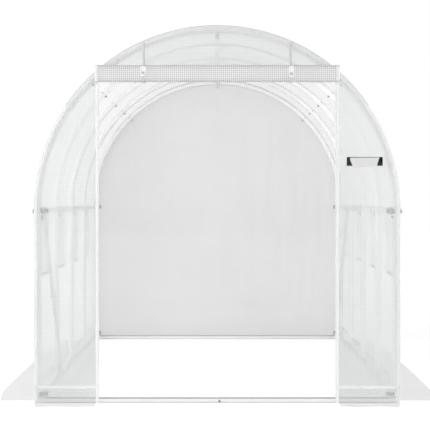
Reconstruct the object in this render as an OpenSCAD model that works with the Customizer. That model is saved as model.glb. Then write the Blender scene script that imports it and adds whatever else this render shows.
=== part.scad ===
// Walk-in polytunnel greenhouse: tube hoops and rails under a grid-reinforced film cover.
// Millimetres. X runs across the tunnel, Y along it from the door end to the closed end, Z is up.
// The origin is on the ground, under the middle of the tunnel.

/* [Tunnel] */
// Width over the film
tunnel_w = 2000; // [1800:50:2400]
// Length over the two end panels
tunnel_l = 4000; // [3000:100:5000]
// Height at which the round roof starts
spring_h = 1060; // [950:10:1200]

/* [Frame] */
// Diameter of the hoop tubes
hoop_d = 37; // [25:1:40]
// Diameter of the sill tubes
sill_d = 31; // [19:1:36]
// Diameter of the rails and braces
rail_d = 25; // [19:1:28]
// How far the side rails lie below the start of the round roof
side_rail_drop = 10; // [5:1:60]
// Height of the base rails
base_rail_h = 50; // [48:1:80]

/* [Door] */
// Clear width of the doorway
door_w = 1290; // [1000:10:1300]
// Height of the top of the doorway
door_h = 1790; // [1600:10:1800]
// Diameter of the rolled-up door
roll_d = 94; // [60:2:100]
// Distance of each tie from the middle of the door
tie_x = 400; // [250:10:500]

/* [Windows] */
// Width of a side window
window_w = 370; // [250:10:390]
// Height of a side window
window_h = 345; // [250:5:380]
// How far the top of a side window lies below the start of the round roof
window_drop = 20; // [20:5:100]
// Diameter of a rolled-up window flap
flap_d = 46; // [30:2:60]

/* [Skirt] */
// Width of the skirt that lies on the ground along each side
side_skirt_w = 250; // [150:10:300]
// Width of the skirt that lies on the ground at each end
end_skirt_w = 170; // [80:10:200]

/* [Hidden] */
$fn = 96;

// Thickness given to every sheet of film, and the clearance that keeps it off the tubes
film_t = 2;
clearance = 0.5;

// Hoops divide the tunnel into this many bays
bay_count = 4;

roof_r = tunnel_w / 2;
end_y = tunnel_l / 2;
hoop_r = roof_r - film_t - clearance - hoop_d / 2;
end_hoop_y = end_y - film_t - clearance - hoop_d / 2;
bay = 2 * end_hoop_y / bay_count;
rail_x = hoop_r - hoop_d / 2 - rail_d / 2 - clearance;
rail_l = 2 * end_hoop_y + hoop_d - 2;
side_rail_h = spring_h - side_rail_drop;
ridge_h = spring_h + rail_x;
film_l = tunnel_l - 2 * film_t;

// Each brace runs from near the top of one leg to near the foot of the next
brace_margin = 30;
brace_top = side_rail_h - brace_margin;
brace_foot = base_rail_h + brace_margin;

roof_segments = 6;
segment_angle = 180 / roof_segments;

tape_w = 18;
tape_t = 1.5;
strap_w = 14;
strap_t = 2;
// The strap's upright part starts this far above the middle of the roll, and stops this far below the arch
strap_lap = 15;
strap_top_gap = 10;
buckle = [28, 8, 46];
buckle_wrap = 15;
buckle_rise = 15;
roll_l = door_w + 2 * tape_w - 4;
roll_lift = 3;
// The zip tapes stop this far below the roll
tape_top_gap = 10;
roll_y = -end_y - strap_t - 2 * clearance - roll_d / 2;
roll_z = door_h + roll_lift;

// The side skirts stop short of the end panels, with a cut corner beside the wall
skirt_setback = 110;
skirt_corner = 45;
// Distances from their ends at which they are nearly, and then fully, wide
skirt_shoulder = 350;
skirt_full = 900;
// The end skirts are this much narrower at their outer edge, at each corner
skirt_taper = 26;

mesh_t = 1;
mesh_border = 20;
// The mesh stops this far below the top of its border, under the rolled flap
mesh_top_gap = 25;
window_top = spring_h - window_drop;
flap_l = window_w + 90;
flap_lift = 8;

label_size = [196, 1, 52];
label_x = 706;
label_z = 1291;

TUBE_WHITE = [0.93, 0.93, 0.93];
FILM_WHITE = [0.91, 0.92, 0.915];
FILM_GREY = [0.88, 0.88, 0.88];
TAPE_WHITE = [0.97, 0.97, 0.97];
STRAP_GREY = [0.72, 0.74, 0.74];
MESH_GREY = [0.80, 0.82, 0.81];
LABEL_BLACK = [0.05, 0.05, 0.05];

// Place of hoop number k, counted from the door end
function hoop_y(k) = -end_hoop_y + k * bay;

// Puts a shape drawn in the X-Z plane upright, and gives it a thickness towards -Y from y
module upright(y, thickness) {
    translate([0, y, 0]) rotate([90, 0, 0]) linear_extrude(height = thickness) children();
}

// Cross-section of the whole tunnel over the film
module tunnel_outline() {
    translate([-roof_r, 0]) square([tunnel_w, spring_h]);
    translate([0, spring_h]) circle(r = roof_r, $fn = 180);
}

// Half-round top of hoop number k
module arch(k) {
    color(TUBE_WHITE)
        translate([0, hoop_y(k), spring_h]) rotate([90, 0, 0])
            rotate_extrude(angle = 180, $fn = 180) translate([hoop_r, 0]) circle(d = hoop_d, $fn = 48);
}

// The straight tubes that one side's arches stand on
module legs(side) {
    color(TUBE_WHITE)
        for (k = [0 : bay_count])
            translate([side * hoop_r, hoop_y(k), 0]) cylinder(d = hoop_d, h = spring_h);
}

// Tube along the ground between the two legs of an end hoop, with its ends coped round them
module sill(k) {
    color(TUBE_WHITE)
        difference() {
            translate([-hoop_r, hoop_y(k), sill_d / 2]) rotate([0, 90, 0])
                cylinder(d = sill_d, h = 2 * hoop_r);
            for (side = [-1, 1])
                translate([side * hoop_r, hoop_y(k), -1])
                    cylinder(d = hoop_d + 2 * clearance, h = sill_d + 2);
        }
}

// Tube along the whole tunnel, inside the hoops
module rail(x, z) {
    color(TUBE_WHITE)
        translate([x, -rail_l / 2, z]) rotate([-90, 0, 0]) cylinder(d = rail_d, h = rail_l);
}

// Diagonal tube in the bay behind hoop number k, from high on that hoop to low on the next
module brace(side, k) {
    drop = brace_top - brace_foot;
    color(TUBE_WHITE)
        translate([side * rail_x, hoop_y(k), brace_top]) rotate([-90 - atan2(drop, bay), 0, 0])
            cylinder(d = rail_d, h = sqrt(drop * drop + bay * bay));
}

// Middle of the window in each bay, from the door end
function window_y(k) = hoop_y(k) + bay / 2;

// One side's upright film, with its windows cut through
module wall_film(side) {
    color(FILM_WHITE)
        difference() {
            translate([side * (roof_r - film_t / 2) - film_t / 2, -film_l / 2, 0])
                cube([film_t, film_l, spring_h]);
            for (k = [0 : bay_count - 1])
                translate([side * roof_r - 2 * film_t, window_y(k) - window_w / 2, window_top - window_h])
                    cube([4 * film_t, window_w, window_h]);
        }
}

// Strip number n of the round roof, counted from the right-hand wall
module roof_film(n) {
    color(FILM_WHITE)
        translate([0, film_l / 2, spring_h]) rotate([90, 0, 0]) rotate([0, 0, n * segment_angle])
            rotate_extrude(angle = segment_angle, $fn = 180)
                translate([roof_r - film_t, 0]) square([film_t, film_l]);
}

// Film of the door end beside the doorway
module front_side_panel(side) {
    color(FILM_WHITE)
        upright(-end_y + film_t, film_t)
            intersection() {
                tunnel_outline();
                translate([side > 0 ? door_w / 2 : -roof_r, 0])
                    square([roof_r - door_w / 2, spring_h + roof_r]);
            }
}

// Film of the door end above the doorway
module front_top_panel() {
    color(FILM_WHITE)
        upright(-end_y + film_t, film_t)
            intersection() {
                tunnel_outline();
                translate([-door_w / 2, door_h]) square([door_w, spring_h + roof_r - door_h]);
            }
}

// Film of the closed end
module back_panel() {
    color(FILM_GREY)
        upright(end_y, film_t)
            intersection() {
                tunnel_outline();
                translate([-roof_r, 0]) square([tunnel_w, spring_h + roof_r]);
            }
}

// Zip tape sewn along one upright edge of the doorway
module zip_tape(side) {
    middle_x = side * (door_w + tape_w) / 2;
    color(TAPE_WHITE)
        translate([middle_x - tape_w / 2, -end_y - tape_t - clearance, film_t + clearance])
            cube([tape_w, tape_t, door_h - roll_d / 2 - tape_top_gap]);
}

// The door curtain, rolled up to the top of the doorway
module door_roll() {
    color(FILM_GREY)
        translate([-roll_l / 2, roll_y, roll_z]) rotate([0, 90, 0]) cylinder(d = roll_d, h = roll_l);
}

// Webbing from the arch seam down behind the roll and round it, with a plastic buckle in front
module door_tie(side) {
    ring_r = roll_d / 2 + clearance;
    strap_top = spring_h + sqrt(roof_r * roof_r - tie_x * tie_x) - strap_top_gap;
    translate([side * tie_x, 0, 0]) {
        color(STRAP_GREY) {
            difference() {
                translate([-strap_w / 2, roll_y, roll_z]) rotate([0, 90, 0])
                    cylinder(r = ring_r + strap_t, h = strap_w);
                translate([-strap_w, roll_y, roll_z]) rotate([0, 90, 0])
                    cylinder(r = ring_r, h = 2 * strap_w);
            }
            translate([-strap_w / 2, roll_y + ring_r, roll_z + strap_lap])
                cube([strap_w, strap_t, strap_top - roll_z - strap_lap]);
        }
        color(TAPE_WHITE)
            difference() {
                translate([-buckle[0] / 2,
                           roll_y - ring_r - buckle[1],
                           roll_z + buckle_rise - buckle[2] / 2])
                    cube([buckle[0], buckle[1] + buckle_wrap, buckle[2]]);
                translate([-buckle[0], roll_y, roll_z]) rotate([0, 90, 0])
                    cylinder(r = ring_r + strap_t + clearance, h = 2 * buckle[0]);
            }
    }
}

// Insect mesh behind each window of one side
module window_meshes(side) {
    inner_x = roof_r - film_t - clearance - mesh_t;
    color(MESH_GREY)
        for (k = [0 : bay_count - 1])
            translate([side > 0 ? inner_x : -inner_x - mesh_t,
                       window_y(k) - window_w / 2 - mesh_border,
                       window_top - window_h - mesh_border])
                cube([mesh_t, window_w + 2 * mesh_border, window_h + 2 * mesh_border - mesh_top_gap]);
}

// Film flap rolled up above each window of one side
module window_flaps(side) {
    color(FILM_GREY)
        for (k = [0 : bay_count - 1])
            translate([side * (roof_r + flap_d / 2 + clearance),
                       window_y(k) - flap_l / 2,
                       window_top + flap_lift])
                rotate([-90, 0, 0]) cylinder(d = flap_d, h = flap_l);
}

// Film that lies on the ground along one side, narrowing towards its ends
module side_skirt(side) {
    half_l = end_y - skirt_setback;
    end_outline = [
        [skirt_corner, 0],
        [0.78 * side_skirt_w, 0],
        [0.93 * side_skirt_w, skirt_shoulder],
        [side_skirt_w, skirt_full]
    ];
    outline = concat(
        [[0, -half_l + skirt_corner]],
        [for (p = end_outline) [p[0], p[1] - half_l]],
        [for (k = [len(end_outline) - 1 : -1 : 0]) [end_outline[k][0], half_l - end_outline[k][1]]],
        [[0, half_l - skirt_corner]]
    );
    color(FILM_WHITE)
        mirror([side > 0 ? 0 : 1, 0, 0]) translate([roof_r, 0, 0])
            linear_extrude(height = film_t) polygon(outline);
}

// Film that lies on the ground in front of one panel of the door end
module front_skirt(side) {
    color(FILM_WHITE)
        mirror([side > 0 ? 0 : 1, 0, 0]) translate([0, -end_y, 0])
            linear_extrude(height = film_t)
                polygon([[door_w / 2 + tape_w, 0], [door_w / 2 + tape_w, -end_skirt_w],
                         [roof_r - skirt_taper, -end_skirt_w], [roof_r, 0]]);
}

// Film that lies on the ground behind the closed end
module back_skirt() {
    color(FILM_WHITE)
        translate([0, end_y, 0])
            linear_extrude(height = film_t)
                polygon([[-roof_r, 0], [-roof_r + skirt_taper, end_skirt_w],
                         [roof_r - skirt_taper, end_skirt_w], [roof_r, 0]]);
}

// Plain woven label on the door end
module blank_label() {
    color(LABEL_BLACK)
        translate([label_x, -end_y - clearance - label_size[1], label_z]) cube(label_size);
}

arch(0);  // front_arch
arch(1);  // second_arch
arch(2);  // middle_arch
arch(3);  // fourth_arch
arch(bay_count);  // back_arch
legs(-1);  // left_legs
legs(1);  // right_legs
sill(0);  // front_sill
sill(bay_count);  // back_sill
rail(-rail_x, base_rail_h);  // left_base_rail
rail(rail_x, base_rail_h);  // right_base_rail
rail(-rail_x, side_rail_h);  // left_side_rail
rail(rail_x, side_rail_h);  // right_side_rail
rail(0, ridge_h);  // ridge_rail
brace(-1, 0);  // left_front_brace
brace(1, bay_count - 1);  // right_back_brace
wall_film(-1);  // left_wall_film
wall_film(1);  // right_wall_film
roof_film(0);  // roof_film_right_low
roof_film(1);  // roof_film_right_mid
roof_film(2);  // roof_film_right_top
roof_film(3);  // roof_film_left_top
roof_film(4);  // roof_film_left_mid
roof_film(5);  // roof_film_left_low
front_side_panel(-1);  // front_left_panel
front_side_panel(1);  // front_right_panel
front_top_panel();
back_panel();
zip_tape(-1);  // left_zip_tape
zip_tape(1);  // right_zip_tape
door_roll();
door_tie(-1);  // left_door_tie
door_tie(1);  // right_door_tie
window_meshes(-1);  // left_window_meshes
window_meshes(1);  // right_window_meshes
window_flaps(-1);  // left_window_flaps
window_flaps(1);  // right_window_flaps
side_skirt(-1);  // left_ground_skirt
side_skirt(1);  // right_ground_skirt
front_skirt(-1);  // front_left_skirt
front_skirt(1);  // front_right_skirt
back_skirt();
blank_label();
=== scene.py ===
"""Walk-in polytunnel greenhouse: white tube frame under a grid-reinforced film cover."""

import bmesh
import bpy
import numpy as np
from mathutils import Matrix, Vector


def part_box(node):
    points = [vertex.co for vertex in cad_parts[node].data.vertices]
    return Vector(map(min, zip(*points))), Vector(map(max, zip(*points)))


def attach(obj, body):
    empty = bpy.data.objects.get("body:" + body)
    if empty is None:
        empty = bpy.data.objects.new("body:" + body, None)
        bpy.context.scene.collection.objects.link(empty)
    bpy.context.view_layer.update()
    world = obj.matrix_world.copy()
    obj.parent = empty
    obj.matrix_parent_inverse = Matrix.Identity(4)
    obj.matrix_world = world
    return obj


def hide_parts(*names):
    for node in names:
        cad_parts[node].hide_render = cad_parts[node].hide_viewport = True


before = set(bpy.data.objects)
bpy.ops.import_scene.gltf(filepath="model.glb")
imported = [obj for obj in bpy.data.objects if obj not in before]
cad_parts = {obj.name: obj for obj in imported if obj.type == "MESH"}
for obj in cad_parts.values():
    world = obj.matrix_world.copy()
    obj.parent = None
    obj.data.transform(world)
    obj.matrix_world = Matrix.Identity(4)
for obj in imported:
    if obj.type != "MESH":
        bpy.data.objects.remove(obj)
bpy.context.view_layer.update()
scene = bpy.context.scene
scene.view_settings.view_transform = "Standard"


# ---- Studio ------------------------------------------------------------------------------
# A pale floor in a white surround, under big soft lamps. The surround and the floor show
# as plain white behind the greenhouse, and the floor keeps its shadow. The floor under the
# cover is dimmer where it is seen through film: painted shade of the cover, set in its glow.

def add_node(tree, kind, inputs, **settings):
    """One node. settings are its properties, and inputs gives each socket a value or another socket."""
    node = tree.nodes.new("ShaderNode" + kind)
    for name, value in settings.items():
        setattr(node, name, value)
    for socket, value in inputs.items():
        if isinstance(value, bpy.types.NodeSocket):
            tree.links.new(value, node.inputs[socket])
        else:
            node.inputs[socket].default_value = value
    return node


def new_material(name):
    """An empty node material and its tree."""
    material = bpy.data.materials.new(name)
    material.use_nodes = True
    material.node_tree.nodes.clear()
    return material, material.node_tree


def worked_out(tree, operation, a, b=0.0):
    """The result of one sum on two values or sockets."""
    return add_node(tree, "Math", {0: a, 1: b}, operation=operation).outputs[0]


def grey(level):
    """A plain grey, from 0 for black to 1 for white."""
    return (level, level, level, 1)


def seen_directly(tree):
    """1 for what the camera, a mirror reflection or a clear pane sees, 0 for light that falls on things."""
    path = add_node(tree, "LightPath", {}).outputs
    either = worked_out(tree, "MAXIMUM", path["Is Camera Ray"], path["Is Glossy Ray"])
    return worked_out(tree, "MAXIMUM", either, path["Is Transmission Ray"])


surround_light = 0.27
surround = bpy.data.worlds.new("white_surround")
scene.world = surround
surround.use_nodes = True
sky = surround.node_tree
sky.nodes.clear()
sky_light = add_node(sky, "Background", {"Color": grey(1), "Strength": surround_light})
sky_white = add_node(sky, "Background", {"Color": grey(1), "Strength": 1.0})
sky_mix = add_node(sky, "MixShader", {0: seen_directly(sky), 1: sky_light.outputs[0],
                                      2: sky_white.outputs[0]})
add_node(sky, "OutputWorld", {"Surface": sky_mix.outputs[0]})

floor_reach = 40.0
near_glow, far_glow, shaded_glow = 0.82, 1.0, 0.52
corners = [(x * floor_reach, y * floor_reach, 0) for x, y in ((-1, -1), (1, -1), (1, 1), (-1, 1))]
floor_mesh = bpy.data.meshes.new("studio_floor")
floor_mesh.from_pydata(corners, [], [(0, 1, 2, 3)])
floor_paint, tree = new_material("pale_floor")
floor_matt = add_node(tree, "BsdfDiffuse", {"Color": grey(0.86)})
floor_dim = add_node(tree, "BsdfDiffuse", {"Color": grey(0.30)})
place = add_node(tree, "TexCoord", {}).outputs["Object"]
distance = add_node(tree, "VectorMath", {0: place}, operation="LENGTH").outputs["Value"]
open_glow = add_node(tree, "MapRange", {"Value": distance, "From Min": 3.0, "From Max": 9.0,
                                        "To Min": near_glow, "To Max": far_glow}).outputs[0]
plan = add_node(tree, "VectorMath", {0: place, 1: (1.0, 0.5, 0.0)}, operation="MULTIPLY").outputs[0]
plan = add_node(tree, "VectorMath", {0: plan}, operation="ABSOLUTE").outputs[0]
plan = add_node(tree, "SeparateXYZ", {0: plan}).outputs
under_cover = worked_out(tree, "LESS_THAN", worked_out(tree, "MAXIMUM", plan[0], plan[1]), 1.0)
films_passed = add_node(tree, "LightPath", {}).outputs["Transparent Depth"]
# Painted shade: seen through film, the floor under the cover glows less, at shaded_glow
shaded = worked_out(tree, "MULTIPLY", under_cover, worked_out(tree, "GREATER_THAN", films_passed, 0.5))
glow = add_node(tree, "Mix", {"Factor": shaded, "A": open_glow, "B": shaded_glow}).outputs[0]
floor_glow = add_node(tree, "Emission", {"Color": grey(1), "Strength": glow})
floor_seen = add_node(tree, "AddShader", {0: floor_dim.outputs[0], 1: floor_glow.outputs[0]})
floor_mix = add_node(tree, "MixShader", {0: seen_directly(tree), 1: floor_matt.outputs[0],
                                         2: floor_seen.outputs[0]})
add_node(tree, "OutputMaterial", {"Surface": floor_mix.outputs[0]})
floor_mesh.materials.append(floor_paint)
floor = bpy.data.objects.new("studio_floor", floor_mesh)
scene.collection.objects.link(floor)


def soft_lamp(name, place, aim, size, power):
    """A square lamp of that size in metres, turned to face its aim."""
    lamp = bpy.data.lights.new(name, "AREA")
    lamp.shape = "SQUARE"
    lamp.size = size
    lamp.energy = power
    holder = bpy.data.objects.new(name, lamp)
    away = np.array(place) - np.array(aim)
    pitch = np.arctan2(np.hypot(away[0], away[1]), away[2])
    turn = np.arctan2(away[0], -away[1])
    holder.location = place
    holder.rotation_euler = (pitch, 0, turn)
    holder.visible_camera = False
    scene.collection.objects.link(holder)


soft_lamp("key_lamp", (5.5, -20.0, 5.2), (0, -0.5, 1.0), 5.0, 640)
soft_lamp("low_lamp", (-1.0, -18.0, 0.85), (0, -0.5, 1.0), 1.6, 740)
soft_lamp("left_lamp", (-6.3, -2.2, 3.2), (0, 0.6, 1.0), 3.5, 356)
soft_lamp("right_lamp", (6.3, -2.2, 2.6), (0, 0.4, 1.0), 3.5, 208)
soft_lamp("inner_lamp", (0.0, -1.90, 1.0), (0, 2.0, 1.7), 0.5, 4.5)
soft_lamp("back_lamp", (0.4, 5.6, 1.8), (0.1, 2.0, 1.5), 2.0, 24)

camera = bpy.data.cameras.new("front_camera")
camera.lens = 134.0
camera.sensor_width = 36.0
camera.shift_x = -0.0052
camera.shift_y = -0.0384
camera.clip_end = 200.0
camera_stand = bpy.data.objects.new("front_camera", camera)
camera_stand.location = (0, -10.73, 1.117)
camera_stand.rotation_euler = (np.pi / 2, 0, 0)
scene.collection.objects.link(camera_stand)
scene.camera = camera_stand


# ---- Frame tubes -------------------------------------------------------------------------
# Hoops, legs, sills, rails and braces are steel tube with a white baked powder coat.
# They are the CAD nodes themselves, and get only their finish here.

def blend(tree, share, low, high, way="MIX"):
    """The colour between low and high by that share, or the two multiplied."""
    return add_node(tree, "Mix", {"Factor": share, "A": low, "B": high}, data_type="RGBA",
                    blend_type=way).outputs["Result"]


powder_coat, tree = new_material("white_powder_coat")
place = add_node(tree, "TexCoord", {}).outputs["Object"]
cloud = add_node(tree, "TexNoise", {"Vector": place, "Scale": 2.5, "Detail": 2.0})
tint = add_node(tree, "MapRange", {"Value": cloud.outputs["Fac"], "To Min": 0.97, "To Max": 1.0})
peel = add_node(tree, "TexNoise", {"Vector": place, "Scale": 420.0, "Detail": 2.0})
peel_bump = add_node(tree, "Bump", {"Height": peel.outputs["Fac"], "Strength": 0.08, "Distance": 0.0004})
coat = add_node(tree, "BsdfPrincipled", {
    "Base Color": blend(tree, 1.0, grey(0.88), tint.outputs[0], "MULTIPLY"), "Roughness": 0.5,
    "Specular IOR Level": 0.12, "Normal": peel_bump.outputs[0]})
add_node(tree, "OutputMaterial", {"Surface": coat.outputs[0]})

HOOPS = ["front_arch", "second_arch", "middle_arch", "fourth_arch", "back_arch"]
TUBES = HOOPS + ["left_legs", "right_legs", "front_sill", "back_sill", "left_base_rail", "right_base_rail",
                 "left_side_rail", "right_side_rail", "ridge_rail", "left_front_brace", "right_back_brace"]
for tube in TUBES:
    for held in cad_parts[tube].material_slots:
        held.material = powder_coat


# ---- Splices and bolts -------------------------------------------------------------------
# Each tube is made of lengths pushed into each other. The rim of the outer length shows as a
# thin step, and a zinc-plated bolt goes through both, with a dome head and a hexagon nut. A
# grey band along the top of each sill tube is painted shade on the tube's upper side.

def grid_faces(rows, columns, closed=False):
    """Four-sided faces between neighbours on a grid of points. closed joins the last column to the first."""
    number = np.arange(rows * columns).reshape(rows, columns)
    after = np.roll(number, -1, axis=1) if closed else number[:, 1:]
    here = number if closed else number[:, :-1]
    return np.stack([here[:-1], after[:-1], after[1:], here[1:]], axis=-1).reshape(-1, 4)


def surface(grid, flip=False):
    """A grid of points, rows x columns x 3, as a part: its points and its faces. flip turns them over."""
    faces = grid_faces(*grid.shape[:2])
    return grid.reshape(-1, 3), faces[:, ::-1] if flip else faces


def turned(profile, sides):
    """A lathe shape: each profile point (radius r, height h), from the top down to the foot, becomes a ring
    of points (r cos a, r sin a, h)."""
    radius, height = np.array(profile[::-1], float).T
    angle = np.arange(sides) * 2 * np.pi / sides
    ring = np.stack([np.outer(radius, np.cos(angle)), np.outer(radius, np.sin(angle)),
                     np.repeat(height[:, None], sides, axis=1)], axis=-1)
    return ring.reshape(-1, 3), grid_faces(len(radius), sides, closed=True)


def joined(parts):
    """Several parts as one, each part's face numbers moved on by the points before it."""
    counts = np.cumsum([0] + [len(points) for points, _ in parts])
    return (np.concatenate([points for points, _ in parts]),
            np.concatenate([faces + start for (_, faces), start in zip(parts, counts)]))


def copies(points, faces):
    """Many copies of one part, copies x points x 3, as one part."""
    starts = np.arange(len(points)) * points.shape[1]
    return points.reshape(-1, 3), (faces[None] + starts[:, None, None]).reshape(-1, 4)


def placed(part, origins, axes):
    """Copies of a part, one at each origin, its own Z turned to point along that copy's axis."""
    points, faces = part
    origins = np.array(origins, float)
    up = np.broadcast_to(np.array(axes, float), origins.shape)
    up = up / np.linalg.norm(up, axis=1, keepdims=True)
    helper = np.where(np.abs(up[:, [1]]) < 0.9, [[0.0, 1.0, 0.0]], [[1.0, 0.0, 0.0]])
    side = np.cross(helper, up)
    side /= np.linalg.norm(side, axis=1, keepdims=True)
    turn = np.stack([side, np.cross(up, side), up], axis=1)
    return copies(np.einsum("pk,nkc->npc", points, turn) + origins[:, None, :], faces)


def mesh_piece(name, part, finish, developed=None, flat_shaded=False):
    """A mesh object from a part. Points that coincide are merged, so that poles and seams are closed.
    developed is each point's place on the flat cut, in metres, and becomes the UV map."""
    points, faces = part
    mesh = bpy.data.meshes.new(name)
    mesh.from_pydata(np.asarray(points, float).tolist(), [], np.asarray(faces).tolist())
    if developed is not None:
        layer = mesh.uv_layers.new(name="developed")
        corner = np.empty(len(mesh.loops), np.int32)
        mesh.loops.foreach_get("vertex_index", corner)
        layer.data.foreach_set("uv", np.asarray(developed, np.float32)[corner].ravel())
    form = bmesh.new()
    form.from_mesh(mesh)
    bmesh.ops.remove_doubles(form, verts=form.verts, dist=2e-6)
    loose = [v for v in form.verts if not v.link_faces]
    bmesh.ops.delete(form, geom=loose, context="VERTS")
    form.to_mesh(mesh)
    form.free()
    mesh.polygons.foreach_set("use_smooth", np.full(len(mesh.polygons), not flat_shaded))
    mesh.materials.append(finish)
    mesh.update()
    piece = bpy.data.objects.new(name, mesh)
    scene.collection.objects.link(piece)
    return piece


def patterned(name, scale, low, high=None, ribs=None, bump=0.0, depth=0.0002, **face):
    """An opaque material with a fine pattern in the piece's own space: a noise, or level ribs that waver by
    that much. Its colour is low, or goes from low to high. bump and depth are the pattern's strength and
    height."""
    material, tree = new_material(name)
    place = add_node(tree, "TexCoord", {}).outputs["Object"]
    if ribs is None:
        pattern = add_node(tree, "TexNoise", {"Vector": place, "Scale": scale, "Detail": 1.0})
    else:
        pattern = add_node(tree, "TexWave", {"Vector": place, "Scale": scale, "Distortion": ribs},
                           bands_direction="Z")
    pattern = pattern.outputs["Fac"]
    inputs = {"Base Color": blend(tree, pattern, low, high) if high else low}
    inputs.update({socket.replace("_", " "): value for socket, value in face.items()})
    if bump:
        inputs["Normal"] = add_node(tree, "Bump", {"Height": pattern, "Strength": bump,
                                                   "Distance": depth}).outputs[0]
    shader = add_node(tree, "BsdfPrincipled", inputs)
    add_node(tree, "OutputMaterial", {"Surface": shader.outputs[0]})
    return material


def middle(node):
    """The centre of a CAD node's box."""
    low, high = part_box(node)
    return (np.array(low) + np.array(high)) / 2


def tube_radius(node, axis):
    """Half the size of a CAD tube along an axis that it doesn't run or bend along."""
    low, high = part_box(node)
    return (high[axis] - low[axis]) / 2


zinc, tree = new_material("zinc_plate")
place = add_node(tree, "TexCoord", {}).outputs["Object"]
spangle = add_node(tree, "TexNoise", {"Vector": place, "Scale": 350.0, "Detail": 1.0})
dull = add_node(tree, "MapRange", {"Value": spangle.outputs["Fac"], "To Min": 0.34, "To Max": 0.5})
steel = add_node(tree, "BsdfPrincipled", {"Base Color": (0.30, 0.31, 0.32, 1), "Metallic": 0.9,
                                          "Roughness": dull.outputs[0]})
add_node(tree, "OutputMaterial", {"Surface": steel.outputs[0]})

hoop_tube_r = tube_radius("front_arch", 1)
sill_tube_r = tube_radius("front_sill", 2)
rail_tube_r = tube_radius("ridge_rail", 0)
legs_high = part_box("right_legs")[1]
spring_h = legs_high.z
hoop_r = legs_high.x - hoop_tube_r
hoop_y = np.array([middle(name)[1] for name in HOOPS])
bay = hoop_y[1] - hoop_y[0]
rail_x = middle("right_side_rail")[0]
ridge_h = middle("ridge_rail")[2]

# Each profile is (radius, height) in metres. The head is a dome on a washer, and the nut a hexagon
# on a washer, with the thread standing out of it
dome_head = turned([(0, 0.0042), (0.0028, 0.0038), (0.0050, 0.0026), (0.0062, 0.0008), (0.0062, 0.0004),
                    (0.0080, 0.0004), (0.0080, -0.0008), (0, -0.0008)], 14)
hexagon = turned([(0, 0.0052), (0.0048, 0.0052), (0.0056, 0.0045), (0.0056, 0.0), (0, 0.0)], 6)
nut_washer = turned([(0, 0.0008), (0.0078, 0.0008), (0.0080, 0.0), (0, -0.0004)], 14)
thread_end = turned([(0, 0.0105), (0.0024, 0.0105), (0.003, 0.0098), (0.003, 0.004), (0, 0.004)], 10)
nut_set = joined([hexagon, nut_washer, thread_end])
snap_button = turned([(0, 0.0030), (0.0022, 0.0024), (0.0034, 0.0008), (0.0036, -0.0010), (0, -0.0010)], 12)

# A hoop is spliced at 45 degrees up each side, and its arch stands in the legs' tops
angle, row = [a.ravel() for a in np.meshgrid(np.radians([45.0, 135.0]), hoop_y)]
outward = np.stack([np.cos(angle), 0 * angle, np.sin(angle)], axis=1)
on_hoop = np.stack([hoop_r * np.cos(angle), row, spring_h + hoop_r * np.sin(angle)], axis=1)
along_hoop = np.stack([-np.sin(angle), 0 * angle, np.cos(angle)], axis=1)
side, row = [a.ravel() for a in np.meshgrid([-1.0, 1.0], hoop_y)]
leg_top = np.stack([side * hoop_r, row, 0 * row + spring_h - 0.045], axis=1)
inward = np.stack([-side, 0 * side, 0 * side], axis=1)


def rim_of(tube_r):
    """The step where one tube goes into the next: a low round bead that stands 0.5 mm off that tube."""
    return turned([(tube_r - 0.0004, 0.0012), (tube_r + 0.0005, 0.0008), (tube_r + 0.0005, -0.0008),
                   (tube_r - 0.0004, -0.0012)], 32)


rail_rows = hoop_y[:-1] + bay / 2
rail_lines = [(side * rail_x, middle(rail)[2]) for rail in ("right_base_rail", "right_side_rail")
              for side in (-1, 1)] + [(0.0, ridge_h)]
rail_splices = np.array([(x, y, z) for x, z in rail_lines for y in rail_rows[[1, 2]] + 0.02])
rail_bolts = np.array([(x, y, z) for x, z in rail_lines for y in hoop_y])
sills = np.array([middle("front_sill"), middle("back_sill")])
left_brace, right_brace = (np.array(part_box(n)) for n in ("left_front_brace", "right_back_brace"))
brace_mids = np.array([left_brace.mean(axis=0), right_brace.mean(axis=0)])
brace_run = [0.0, bay, left_brace[0, 2] - left_brace[1, 2]]
tube_rims = mesh_piece("tube_rims", joined([
    placed(rim_of(hoop_tube_r), on_hoop, along_hoop),
    placed(rim_of(hoop_tube_r), leg_top, [0, 0, 1]),
    placed(rim_of(sill_tube_r), sills, [1, 0, 0]),
    placed(rim_of(rail_tube_r), rail_splices, [0, 1, 0]),
    placed(rim_of(rail_tube_r), brace_mids, brace_run),
]), powder_coat)

# Painted shade: a grey band round the top front of each sill, from 33 to 68 degrees up, darkens its upper
# side
sill_shade_paint = patterned("painted_sill_top_shade", 260.0, grey(0.36), grey(0.46), Roughness=0.6)
shade_band_r = sill_tube_r + 0.0003
shade_band_x, shade_band_a = np.meshgrid(np.linspace(-0.93, 0.93, 40), np.radians(np.linspace(33, 68, 6)), indexing="ij")
sill_top_painted_shade = mesh_piece("sill_top_painted_shade", joined([
    surface(np.stack([shade_band_x, y - shade_band_r * np.cos(shade_band_a), z + shade_band_r * np.sin(shade_band_a)], axis=-1))
    for _, y, z in sills]), sill_shade_paint)
for piece in (tube_rims, sill_top_painted_shade):
    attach(piece, "root")

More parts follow.
